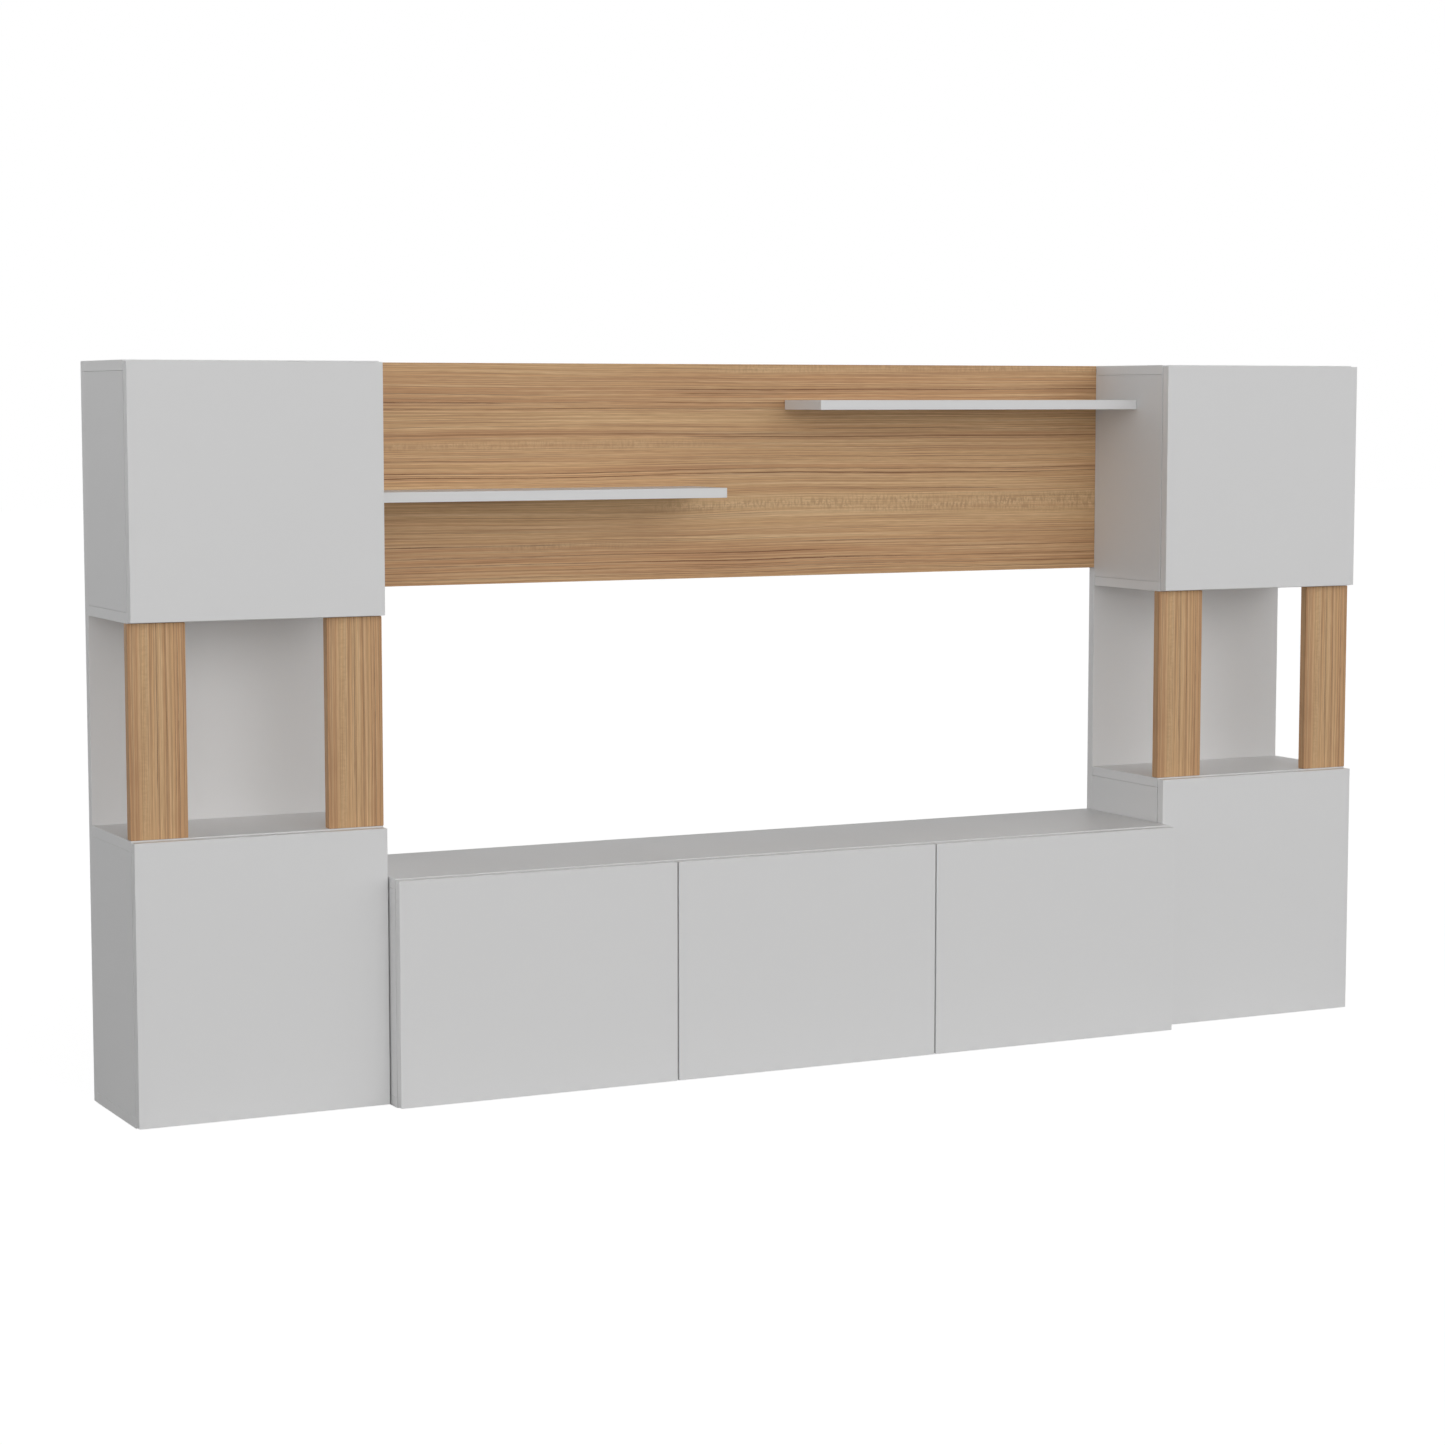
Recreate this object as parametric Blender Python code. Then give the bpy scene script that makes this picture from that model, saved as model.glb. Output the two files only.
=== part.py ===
"""Wall-side TV unit: two towers, a low console between them, a wood panel and two shelves.

Metres, +X to the right, the fronts face -Y, +Z up. The origin is on the floor, in the
middle of the unit's width and of its depth. Every door turns on two concealed cup hinges
and rests against a push latch, because no door has a handle.
"""
import math

import bmesh
import bpy
from mathutils import Matrix, Vector

# Boards: 18 mm faced chipboard with banded edges, eased a little along every edge
BOARD = 0.018
EDGE_EASE = 0.0006
FIT = 0.0003

# Towers
TOWER_WIDTH = 0.450
TOWER_DEPTH = 0.249
TOWER_HEIGHT = 1.288
LOWER_CABINET_HEIGHT = 0.488
UPPER_CABINET_HEIGHT = 0.436
POST_WIDTH = 0.100

# Console, its hardboard back and the slit to each tower
CONSOLE_WIDTH = 1.600
CONSOLE_DEPTH = 0.2945
CONSOLE_HEIGHT = 0.401
CONSOLE_BACK_THICKNESS = 0.003
CONSOLE_SLIT = 0.002

# Wood panel between the towers, and the two shelves at their drop below its top edge
PANEL_HEIGHT = 0.400
SHELF_DEPTH = 0.145
LOWER_SHELF_DROP = 0.227
LOWER_SHELF_LENGTH = 0.709
UPPER_SHELF_DROP = 0.067
UPPER_SHELF_LENGTH = 0.700

# Doors: how far they lie inside the carcass outline, and the slits round them
DOOR_SIDE_REVEAL = 0.0007
DOOR_END_REVEAL = 0.002
DOOR_BACK_GAP = 0.0015
DOOR_SLIT = 0.003

# Cup hinge, measured in from the door's hinge edge and out of the door's back face
AXIS_IN = 0.005
AXIS_DEPTH = 0.013
CUP_CENTRE_IN = 0.0205
CUP_RADIUS = 0.0166
CUP_DEPTH = 0.0115
CUP_SEGMENTS = 24
FLANGE_THICKNESS = 0.0007
FLANGE_LENGTH = 0.054
FLANGE_WIDTH = 0.024
FLANGE_IN = 0.024
HINGE_INSET = 0.090

# Hinge link: a cranked steel strip that reaches from the arm's pin into the cup
PIVOT_IN = 0.029
PIVOT_OUT = 0.0045
LINK_KNEE_IN = 0.0154
LINK_KNEE_OUT = -0.006
LINK_HEEL_IN = 0.0104
LINK_HEEL_OUT = -0.0095
LINK_TIP_IN = 0.0067
LINK_TIP_OUT = -0.0075
LINK_THICKNESS = 0.0016
LINK_WIDTH = 0.008
LINK_KNUCKLE_RADIUS = 0.0022
LINK_TIP_RADIUS = 0.0014
LINK_PIN_RADIUS = 0.0011
LINK_PIN_CLEARANCE = 0.0004
LINK_SIDE_CLEARANCE = 0.00035

# Hinge arm, forked at its nose for the link, and its winged plate on the cabinet's side
ARM_WIDTH = 0.013
ARM_HEIGHT = 0.012
ARM_NOSE_RADIUS = 0.0034
ARM_LENGTH = 0.060
ARM_TAIL_CUT = 0.003
ARM_FORK_DEPTH = 0.009
PLATE_THICKNESS = 0.003
PLATE_SETBACK = 0.037
PLATE_LENGTH = 0.018
PLATE_WING = 0.052

# Push latch: a barrel on a foot, with a sprung plunger against the door's back
LATCH_BARREL_RADIUS = 0.0055
LATCH_BARREL_LENGTH = 0.055
LATCH_FOOT_THICKNESS = 0.0025
LATCH_FOOT_LENGTH = 0.034
LATCH_FOOT_HEIGHT = 0.026
LATCH_FOOT_SETBACK = 0.012
PLUNGER_RADIUS = 0.003
PLUNGER_LENGTH = 0.034
PLUNGER_CLEARANCE = 0.0004
PLUNGER_TRAVEL = 0.002
PLUNGER_PAD_RADIUS = 0.0042
PLUNGER_PAD_THICKNESS = 0.0012
ROUND_SEGMENTS = 16
PIN_SEGMENTS = 12

# One overrun serves every cut, and one overlap every foot that is one body with its board
OVERRUN = 0.001
ROOT_DEPTH = 0.0005

# Places that follow from the sizes above
BACK_Y = (CONSOLE_DEPTH + DOOR_BACK_GAP + BOARD) / 2
TOWER_FRONT_Y = BACK_Y - TOWER_DEPTH
CONSOLE_FRONT_Y = BACK_Y - CONSOLE_DEPTH
BOARD_BACK_Y = BACK_Y - BOARD - FIT
TOWER_INNER_X = CONSOLE_WIDTH / 2 + CONSOLE_SLIT
TOWER_OUTER_X = TOWER_INNER_X + TOWER_WIDTH
UPPER_CABINET_BASE = TOWER_HEIGHT - UPPER_CABINET_HEIGHT


def clear_scene():
    """Empties the scene that the script starts in."""
    for item in list(bpy.data.objects):
        bpy.data.objects.remove(item, do_unlink=True)


def finish(name, colour, roughness, metallic=0.0):
    """One plain material for a kind of surface."""
    material = bpy.data.materials.new(name)
    material.use_nodes = True
    shader = material.node_tree.nodes["Principled BSDF"]
    shader.inputs["Base Color"].default_value = (*colour, 1.0)
    shader.inputs["Roughness"].default_value = roughness
    shader.inputs["Metallic"].default_value = metallic
    return material


def link_object(name, data, place, parent=None):
    """Puts a mesh, or nothing for an empty, into the scene under a name."""
    item = bpy.data.objects.new(name, data)
    item.location = place
    item.parent = parent
    bpy.context.collection.objects.link(item)
    return item


def add_piece(name, mesh, material, origin, axis=None):
    """Adds a piece modelled in its place, with its origin at a point of the world."""
    origin = Vector(origin)
    mesh.transform(Matrix.Translation(-origin))
    mesh.materials.clear()
    mesh.materials.append(material)
    start = axis.location if axis else Vector((0, 0, 0))
    return link_object(name, mesh, origin - start, axis)


def mesh_from(build):
    """Runs a bmesh builder and returns its closed mesh, faces outwards."""
    work = bmesh.new()
    build(work)
    bmesh.ops.recalc_face_normals(work, faces=work.faces)
    mesh = bpy.data.meshes.new("shape")
    work.to_mesh(mesh)
    work.free()
    return mesh


def block(low, high, ease=0):
    """A box between two corners, with its edges eased by a small flat."""
    low, high = Vector(low), Vector(high)

    def build(work):
        size = Matrix.Diagonal((*(high - low), 1))
        bmesh.ops.create_cube(work, size=1, matrix=Matrix.Translation((low + high) / 2) @ size)
        if ease:
            bmesh.ops.bevel(work, geom=work.edges[:], offset=ease, segments=1, affect="EDGES")
    return mesh_from(build)


def rod(start, end, radius, segments):
    """A round bar from one point to another."""
    start, end = Vector(start), Vector(end)

    def build(work):
        along = end - start
        turn = along.to_track_quat("Z", "Y").to_matrix().to_4x4()
        place = Matrix.Translation((start + end) / 2) @ turn
        bmesh.ops.create_cone(work, cap_ends=True, segments=segments, radius1=radius,
                              radius2=radius, depth=along.length, matrix=place)
    return mesh_from(build)


def prism(outline, low_z, high_z):
    """A flat outline in X and Y, pulled up from one height to another."""
    def build(work):
        corners = [work.verts.new((x, y, low_z)) for x, y in outline]
        face = work.faces.new(corners)
        pulled = bmesh.ops.extrude_face_region(work, geom=[face])
        raised = [v for v in pulled["geom"] if isinstance(v, bmesh.types.BMVert)]
        bmesh.ops.translate(work, verts=raised, vec=(0, 0, high_z - low_z))
    return mesh_from(build)


def placed(mesh, place, side=1):
    """A copy of a shape at a place, mirrored in X where side is -1."""
    def build(work):
        work.from_mesh(mesh)
        bmesh.ops.scale(work, vec=(side, 1, 1), verts=work.verts)
        bmesh.ops.translate(work, vec=place, verts=work.verts)
    return mesh_from(build)


def strip_outline(points, thickness):
    """The outline of a strip of even thickness, bent along a few points."""
    ways = [(end - start).normalized() for start, end in zip(points, points[1:])]
    left, right = [], []
    for point, before, after in zip(points, ways[:1] + ways, ways + ways[-1:]):
        way = (before + after).normalized()
        side = Vector((-way.y, way.x))
        reach = thickness / 2 / side.dot(Vector((-before.y, before.x)))
        left.append(point + side * reach)
        right.append(point - side * reach)
    return left + right[::-1]


def carve(mesh, joined=(), cut=()):
    """Joins shapes to a mesh, cuts others out of it, and returns the one body that is left."""
    base = link_object("carve_base", mesh, (0, 0, 0))
    tools = []
    for operation, shapes in (("UNION", joined), ("DIFFERENCE", cut)):
        for shape in shapes:
            tool = link_object("carve_tool", shape, (0, 0, 0))
            change = base.modifiers.new(operation.lower(), "BOOLEAN")
            change.operation = operation
            change.object = tool
            tools.append(tool)
    view = bpy.context.evaluated_depsgraph_get()
    result = bpy.data.meshes.new_from_object(base.evaluated_get(view))
    for item in [base, *tools]:
        bpy.data.objects.remove(item, do_unlink=True)
    return result


def add_board(name, low, high, material, axis=None, joined=(), cut=()):
    """A board between two corners, with fittings that are one body with it."""
    low, high = Vector(low), Vector(high)
    shape = block(low, high, EDGE_EASE)
    if joined or cut:
        shape = carve(shape, joined, cut)
    origin = axis.location if axis else (low + high) / 2
    return add_piece(name, shape, material, origin, axis)


def link_shape():
    """The hinge link about its pivot: knuckle and pin at one end, rolled tip at the other."""
    pivot = Vector((PIVOT_IN, PIVOT_OUT))
    bends = [pivot, Vector((LINK_KNEE_IN, LINK_KNEE_OUT)),
             Vector((LINK_HEEL_IN, LINK_HEEL_OUT)), Vector((LINK_TIP_IN, LINK_TIP_OUT))]
    bends = [point - pivot for point in bends]
    half = LINK_WIDTH / 2
    tip = bends[-1]
    strip = prism(strip_outline(bends, LINK_THICKNESS), -half, half)
    knuckle = rod((0, 0, -half), (0, 0, half), LINK_KNUCKLE_RADIUS, PIN_SEGMENTS)
    pin_end = ARM_WIDTH / 2
    pin = rod((0, 0, -pin_end), (0, 0, pin_end), LINK_PIN_RADIUS, PIN_SEGMENTS)
    rolled = rod((*tip, -half), (*tip, half), LINK_TIP_RADIUS, PIN_SEGMENTS)
    return carve(strip, joined=[knuckle, pin, rolled])


def arm_shape(face_in):
    """The hinge arm and its plate about the link's pivot: a bar with a forked nose.

    face_in is the place of the carrying board's face, in from the door's hinge edge.
    """
    top = ARM_NOSE_RADIUS
    foot = top - ARM_HEIGHT
    tail = ARM_LENGTH - PIVOT_OUT
    steps = ROUND_SEGMENTS // 2
    nose = []
    for k in range(steps + 1):
        angle = math.pi * (1 + k / steps)
        nose.append((ARM_NOSE_RADIUS * math.cos(angle), ARM_NOSE_RADIUS * math.sin(angle)))
    outline = nose + [(top, tail - ARM_TAIL_CUT), (top - ARM_TAIL_CUT, tail), (foot, tail),
                      (foot, ARM_NOSE_RADIUS)]
    bar = prism(outline, -ARM_WIDTH / 2, ARM_WIDTH / 2)
    plate_middle = PLATE_SETBACK + DOOR_BACK_GAP - PIVOT_OUT
    low = (face_in - ROOT_DEPTH - PIVOT_IN, plate_middle - PLATE_LENGTH / 2, -PLATE_WING / 2)
    high = (foot + PLATE_THICKNESS / 2, plate_middle + PLATE_LENGTH / 2, PLATE_WING / 2)
    slot_half = LINK_WIDTH / 2 + LINK_SIDE_CLEARANCE
    slot = block((-ARM_HEIGHT, -ARM_HEIGHT, -slot_half), (ARM_HEIGHT, ARM_FORK_DEPTH, slot_half))
    bore_end = ARM_WIDTH / 2 + OVERRUN
    bore = rod((0, 0, -bore_end), (0, 0, bore_end), LINK_PIN_RADIUS + LINK_PIN_CLEARANCE,
               PIN_SEGMENTS)
    return carve(bar, joined=[block(low, high)], cut=[slot, bore])


def latch_shape():
    """The push latch's housing about its plunger's tip: a bored barrel on a foot."""
    front = PLUNGER_PAD_THICKNESS + PLUNGER_TRAVEL + FIT
    barrel = rod((0, front, 0), (0, front + LATCH_BARREL_LENGTH, 0), LATCH_BARREL_RADIUS,
                 ROUND_SEGMENTS)
    foot_front = front + LATCH_FOOT_SETBACK
    low = (-LATCH_BARREL_RADIUS - ROOT_DEPTH, foot_front, -LATCH_FOOT_HEIGHT / 2)
    high = (LATCH_FOOT_THICKNESS - LATCH_BARREL_RADIUS, foot_front + LATCH_FOOT_LENGTH,
            LATCH_FOOT_HEIGHT / 2)
    depth = PLUNGER_LENGTH + PLUNGER_TRAVEL + OVERRUN
    bore = rod((0, front - OVERRUN, 0), (0, depth, 0), PLUNGER_RADIUS + PLUNGER_CLEARANCE,
               ROUND_SEGMENTS)
    return carve(barrel, joined=[block(low, high)], cut=[bore])


def plunger_shape():
    """The latch's plunger about its tip: a round stem with a wider magnet pad."""
    pad = rod((0, 0, 0), (0, PLUNGER_PAD_THICKNESS, 0), PLUNGER_PAD_RADIUS, ROUND_SEGMENTS)
    stem = rod((0, PLUNGER_PAD_THICKNESS / 2, 0), (0, PLUNGER_LENGTH, 0), PLUNGER_RADIUS,
               ROUND_SEGMENTS)
    return carve(pad, joined=[stem])


def add_door(prefix, low, high, front, hinge_side, face_in, latch_face, looks):
    """A door with its cup hinges' wells, links and a push latch's plunger.

    low and high are its corners in X and Z and front is the carcass front. hinge_side is 1
    where the hinges are on the left and -1 on the right. It returns the fixed fittings in
    their places: two hinge arms, and the latch's housing.
    """
    back = front - DOOR_BACK_GAP
    edge = low[0] if hinge_side == 1 else high[0]
    heights = {"lower": low[1] + HINGE_INSET, "upper": high[1] - HINGE_INSET}

    axis = link_object(f"{prefix}_door_axis", None, (edge + hinge_side * AXIS_IN, back - AXIS_DEPTH, 0))
    flanges, wells = [], []
    cup_x = edge + hinge_side * CUP_CENTRE_IN
    flange_x = edge + hinge_side * FLANGE_IN
    for z in heights.values():
        flanges.append(block((flange_x - FLANGE_WIDTH / 2, back - ROOT_DEPTH, z - FLANGE_LENGTH / 2),
                             (flange_x + FLANGE_WIDTH / 2, back + FLANGE_THICKNESS,
                              z + FLANGE_LENGTH / 2)))
        wells.append(rod((cup_x, back - CUP_DEPTH, z), (cup_x, back + OVERRUN, z), CUP_RADIUS,
                         CUP_SEGMENTS))
    add_board(f"{prefix}_door", (low[0], back - BOARD, low[1]), (high[0], back, high[1]),
              looks["board"], axis, flanges, wells)

    pivot_x = edge + hinge_side * PIVOT_IN
    arms = []
    for level, z in heights.items():
        place = (pivot_x, back + PIVOT_OUT, z)
        pin = link_object(f"{prefix}_{level}_link_axis", None, place)
        link = placed(link_shape(), place, hinge_side)
        add_piece(f"{prefix}_{level}_hinge_link", link, looks["steel"], place, pin)
        arms.append(placed(arm_shape(face_in), place, hinge_side))

    latch_place = (latch_face - hinge_side * LATCH_BARREL_RADIUS, back + FIT, (low[1] + high[1]) / 2)
    slide = link_object(f"{prefix}_plunger_axis", None, latch_place)
    add_piece(f"{prefix}_latch_plunger", placed(plunger_shape(), latch_place), looks["plastic"],
              latch_place, slide)
    return arms, placed(latch_shape(), latch_place, -hinge_side)


def add_tower_cabinet(prefix, left, right, base, height, side, looks):
    """A tower's cabinet: a door, and top and bottom boards that run over two sides."""
    front, top = TOWER_FRONT_Y, base + height
    inner_face = right - BOARD if side == -1 else left + BOARD
    arms, latch = add_door(prefix, (left + DOOR_SIDE_REVEAL, base + DOOR_END_REVEAL),
                           (right - DOOR_SIDE_REVEAL, top - DOOR_END_REVEAL), front, -side,
                           BOARD - DOOR_SIDE_REVEAL, inner_face, looks)
    fittings = {"outer": arms, "inner": [latch]}
    starts = {"outer": left, "inner": right - BOARD}
    if side == 1:
        starts = {"outer": right - BOARD, "inner": left}
    white = looks["board"]
    add_board(f"{prefix}_bottom", (left, front, base), (right, BOARD_BACK_Y, base + BOARD), white)
    add_board(f"{prefix}_top", (left, front, top - BOARD), (right, BOARD_BACK_Y, top), white)
    for place, start in starts.items():
        add_board(f"{prefix}_{place}_side", (start, front, base + BOARD + FIT),
                  (start + BOARD, BOARD_BACK_Y, top - BOARD - FIT), white, joined=fittings[place])


def add_tower(side, looks):
    """One tower: a full back, a lower and an upper cabinet, and two posts between them."""
    hand = "left" if side == -1 else "right"
    left = min(side * TOWER_OUTER_X, side * TOWER_INNER_X)
    right = left + TOWER_WIDTH
    add_board(f"{hand}_back_panel", (left, BACK_Y - BOARD, 0), (right, BACK_Y, TOWER_HEIGHT),
              looks["board"])
    add_tower_cabinet(f"{hand}_lower", left, right, 0, LOWER_CABINET_HEIGHT, side, looks)
    add_tower_cabinet(f"{hand}_upper", left, right, UPPER_CABINET_BASE, UPPER_CABINET_HEIGHT, side,
                      looks)
    for place, start in (("left", left), ("right", right - POST_WIDTH)):
        low = (start, TOWER_FRONT_Y, LOWER_CABINET_HEIGHT + FIT)
        high = (start + POST_WIDTH, TOWER_FRONT_Y + BOARD, UPPER_CABINET_BASE - FIT)
        add_board(f"{hand}_niche_{place}_post", low, high, looks["wood"])


def add_console(looks):
    """The console: a long box with two dividers, a thin back and three doors."""
    half, front, top = CONSOLE_WIDTH / 2, CONSOLE_FRONT_Y, CONSOLE_HEIGHT
    rear = BACK_Y - CONSOLE_BACK_THICKNESS - FIT
    low, high = BOARD + FIT, top - BOARD - FIT
    white = looks["board"]
    door_width = (CONSOLE_WIDTH - 2 * DOOR_SIDE_REVEAL - 2 * DOOR_SLIT) / 3
    slit = (door_width + DOOR_SLIT) / 2
    boards = {"left_side": -half, "left_divider": -slit - BOARD / 2,
              "right_divider": slit - BOARD / 2, "right_side": half - BOARD}
    fittings = {name: [] for name in boards}

    # Each door: its left edge, its hinge side, the board that its arms and its latch are on
    full, part = BOARD - DOOR_SIDE_REVEAL, (BOARD - DOOR_SLIT) / 2
    doors = {
        "left": (DOOR_SIDE_REVEAL - half, 1, full, "left_side", "left_divider"),
        "middle": (-door_width / 2, 1, part, "left_divider", "right_divider"),
        "right": (half - DOOR_SIDE_REVEAL - door_width, -1, full, "right_side", "right_divider"),
    }
    for hand, (start, hinge_side, face_in, arm_board, latch_board) in doors.items():
        latch_face = boards[latch_board] + (BOARD if hinge_side == -1 else 0)
        arms, latch = add_door(f"console_{hand}", (start, DOOR_END_REVEAL),
                               (start + door_width, top - DOOR_END_REVEAL), front, hinge_side,
                               face_in, latch_face, looks)
        fittings[arm_board] += arms
        fittings[latch_board].append(latch)

    for name, start in boards.items():
        add_board(f"console_{name}", (start, front, low), (start + BOARD, rear, high), white,
                  joined=fittings[name])
    add_board("console_top", (-half, front, top - BOARD), (half, BACK_Y, top), white)
    add_board("console_bottom", (-half, front, 0), (half, rear, BOARD), white)
    add_piece("console_back_panel", block((-half, rear + FIT, 0), (half, BACK_Y, high)),
              looks["hardboard"], (0, BACK_Y - CONSOLE_BACK_THICKNESS / 2, high / 2))


def add_centre(looks):
    """The wood panel between the towers, and the two shelves fixed to its front."""
    reach = TOWER_INNER_X - FIT
    add_board("wood_panel", (-reach, BACK_Y - BOARD, TOWER_HEIGHT - PANEL_HEIGHT),
              (reach, BACK_Y, TOWER_HEIGHT), looks["wood"])
    shelves = {
        "lower_shelf": (-reach, LOWER_SHELF_LENGTH - reach, TOWER_HEIGHT - LOWER_SHELF_DROP),
        "upper_shelf": (reach - UPPER_SHELF_LENGTH, reach, TOWER_HEIGHT - UPPER_SHELF_DROP),
    }
    for name, (left, right, top) in shelves.items():
        add_board(name, (left, BOARD_BACK_Y - SHELF_DEPTH, top - BOARD),
                  (right, BOARD_BACK_Y, top), looks["board"])


def build():
    """Builds the whole unit."""
    clear_scene()
    looks = {
        "board": finish("white_melamine", (0.78, 0.78, 0.78), 0.45),
        "wood": finish("oak_melamine", (0.42, 0.26, 0.14), 0.55),
        "hardboard": finish("white_hardboard", (0.72, 0.72, 0.71), 0.6),
        "steel": finish("nickelled_steel", (0.62, 0.62, 0.60), 0.3, 1.0),
        "plastic": finish("grey_plastic", (0.35, 0.35, 0.36), 0.5),
    }
    add_tower(-1, looks)
    add_tower(1, looks)
    add_console(looks)
    add_centre(looks)


build()
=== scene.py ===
import math

import bpy
import numpy as np
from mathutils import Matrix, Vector
from mathutils.geometry import tessellate_polygon


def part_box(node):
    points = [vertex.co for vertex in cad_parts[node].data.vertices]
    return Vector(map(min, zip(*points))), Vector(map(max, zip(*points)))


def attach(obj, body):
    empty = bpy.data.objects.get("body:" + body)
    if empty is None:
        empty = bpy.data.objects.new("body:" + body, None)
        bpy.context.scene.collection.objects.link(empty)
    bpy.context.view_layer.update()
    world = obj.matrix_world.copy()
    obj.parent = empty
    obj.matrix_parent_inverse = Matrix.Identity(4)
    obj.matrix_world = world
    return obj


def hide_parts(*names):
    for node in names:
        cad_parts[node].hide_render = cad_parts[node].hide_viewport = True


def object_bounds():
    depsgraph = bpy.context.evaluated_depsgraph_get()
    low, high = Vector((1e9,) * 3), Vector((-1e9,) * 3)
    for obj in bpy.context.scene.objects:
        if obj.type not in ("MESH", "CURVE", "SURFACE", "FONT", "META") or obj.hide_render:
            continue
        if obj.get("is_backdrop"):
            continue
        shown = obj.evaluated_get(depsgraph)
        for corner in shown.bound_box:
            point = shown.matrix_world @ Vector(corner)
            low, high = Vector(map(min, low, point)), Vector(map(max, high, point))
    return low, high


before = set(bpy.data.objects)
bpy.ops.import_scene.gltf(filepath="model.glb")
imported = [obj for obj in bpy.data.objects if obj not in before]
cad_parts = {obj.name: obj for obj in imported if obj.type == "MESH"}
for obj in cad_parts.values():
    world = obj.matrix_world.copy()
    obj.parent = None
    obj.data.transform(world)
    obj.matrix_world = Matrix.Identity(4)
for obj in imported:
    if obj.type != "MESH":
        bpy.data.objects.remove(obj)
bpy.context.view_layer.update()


# White boards of the carcass
# 18 mm chipboard faced with white melamine, its edges closed by a glued-on 1 mm band that is
# rounded over. The glue line between face and band stays as a hairline groove. The film is
# pressed matt, and shines half as much as a smooth plastic.
BOARD = 0.018
BAND = 0.0010
BAND_ROUND = 0.0006
CORNER_ROUND = 0.0016
GLUE_LINE = 0.0002
GLUE_DEPTH = 0.00012
ROUND_STEPS = 4
FILM_SHINE = 0.25


def linear(code):
    """Turns an sRGB hex colour into the linear RGBA that a shader takes."""
    parts = [int(code[k:k + 2], 16) / 255 for k in (1, 3, 5)]
    return [p / 12.92 if p <= 0.04045 else ((p + 0.055) / 1.055) ** 2.4 for p in parts] + [1.0]


def add_node(tree, kind, inputs=(), **settings):
    """Adds a shader node, sets its properties, and fills or links its inputs.

    The inputs go by name, or in a row in the node's own order. A node that is given as an
    input links from its first output in use.
    """
    node = tree.nodes.new("ShaderNode" + kind)
    for key, value in settings.items():
        setattr(node, key, value)
    pairs = inputs.items() if isinstance(inputs, dict) else enumerate(inputs)
    for key, value in pairs:
        if isinstance(value, bpy.types.Node):
            value = next(output for output in value.outputs if output.enabled)
        if isinstance(value, bpy.types.NodeSocket):
            tree.links.new(value, node.inputs[key])
        else:
            node.inputs[key].default_value = value
    return node


def new_finish(name):
    """A material with a Principled shader, and the piece's own coordinates in metres."""
    material = bpy.data.materials.new(name)
    material.use_nodes = True
    tree = material.node_tree
    place = add_node(tree, "TexCoord").outputs["Object"]
    return material, tree, tree.nodes["Principled BSDF"], place


def give_touch(tree, shader, cloud, roughness, sway, grains, strength, depth):
    """Roughness that sways with one noise about its mean, and a bump that another raises."""
    sheen = add_node(tree, "MapRange", (cloud, 0.3, 0.7, roughness - sway, roughness + sway))
    bump = add_node(tree, "Bump", {"Height": grains, "Strength": strength, "Distance": depth})
    tree.links.new(sheen.outputs["Result"], shader.inputs["Roughness"])
    tree.links.new(bump.outputs["Normal"], shader.inputs["Normal"])


def melamine_finish(name, colour, roughness, pearl):
    """Melamine film: even in colour, with the fine pearl that its press plate leaves.

    The pearl is a bump of grains 0.6 mm wide, and the sheen drifts a little over 170 mm.
    """
    material, tree, shader, place = new_finish(name)
    shader.inputs["Base Color"].default_value = linear(colour)
    shader.inputs["Specular IOR Level"].default_value = FILM_SHINE
    grains = add_node(tree, "TexNoise", {"Vector": place, "Scale": 1700.0, "Detail": 2.0})
    cloud = add_node(tree, "TexNoise", {"Vector": place, "Scale": 6.0, "Detail": 3.0})
    give_touch(tree, shader, cloud, roughness, 0.03, grains, pearl, 0.0002)
    return material


def rectangle_loop(half_a, half_b, inset):
    """Points and outward directions of a rectangle with round corners, a distance inside it.

    Each corner is a quarter circle about the same centre, so all insets run side by side.
    """
    quarter = np.linspace(0, math.pi / 2, ROUND_STEPS)
    angle = np.concatenate([quarter + corner * math.pi / 2 for corner in range(4)])
    sign_a = np.repeat([1, -1, -1, 1], ROUND_STEPS)
    sign_b = np.repeat([1, 1, -1, -1], ROUND_STEPS)
    out = np.stack([np.cos(angle), np.sin(angle)], 1)
    centre = np.stack([sign_a * (half_a - CORNER_ROUND), sign_b * (half_b - CORNER_ROUND)], 1)
    return centre + out * (CORNER_ROUND - inset), out


def edge_profile(thickness):
    """The banded edge from one face to the other: insets, heights, and each strip's normals.

    It runs from the face across the glue line, over the rounded band, down the edge and
    round to the other face. A normal is (outward, upward) at a strip's start and end.
    """
    turn = np.linspace(0, math.pi / 2, ROUND_STEPS + 1)
    inset = np.concatenate([[BAND + GLUE_LINE, BAND + GLUE_LINE / 2, BAND],
                            BAND_ROUND * (1 - np.sin(turn))])
    height = np.concatenate([[thickness, thickness - GLUE_DEPTH, thickness],
                             thickness - BAND_ROUND * (1 - np.cos(turn))])
    inset = np.concatenate([inset, inset[::-1]])
    height = np.concatenate([height, thickness - height[::-1]])
    run = np.stack([-np.diff(inset), np.diff(height)], 1)
    flat = np.stack([-run[:, 1], run[:, 0]], 1)
    flat /= np.linalg.norm(flat, axis=1, keepdims=True)
    start, end = flat.copy(), flat.copy()
    # Three flat strips come before the first round ones: two of the glue line, one of the band
    for first, way in ((3, 1), (4 + ROUND_STEPS, -1)):
        rows = np.stack([np.sin(turn), np.cos(turn)], 1)
        rows = rows if way == 1 else np.stack([rows[::-1, 0], -rows[::-1, 1]], 1)
        start[first:first + ROUND_STEPS] = rows[:-1]
        end[first:first + ROUND_STEPS] = rows[1:]
    return inset, height, start, end


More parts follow.
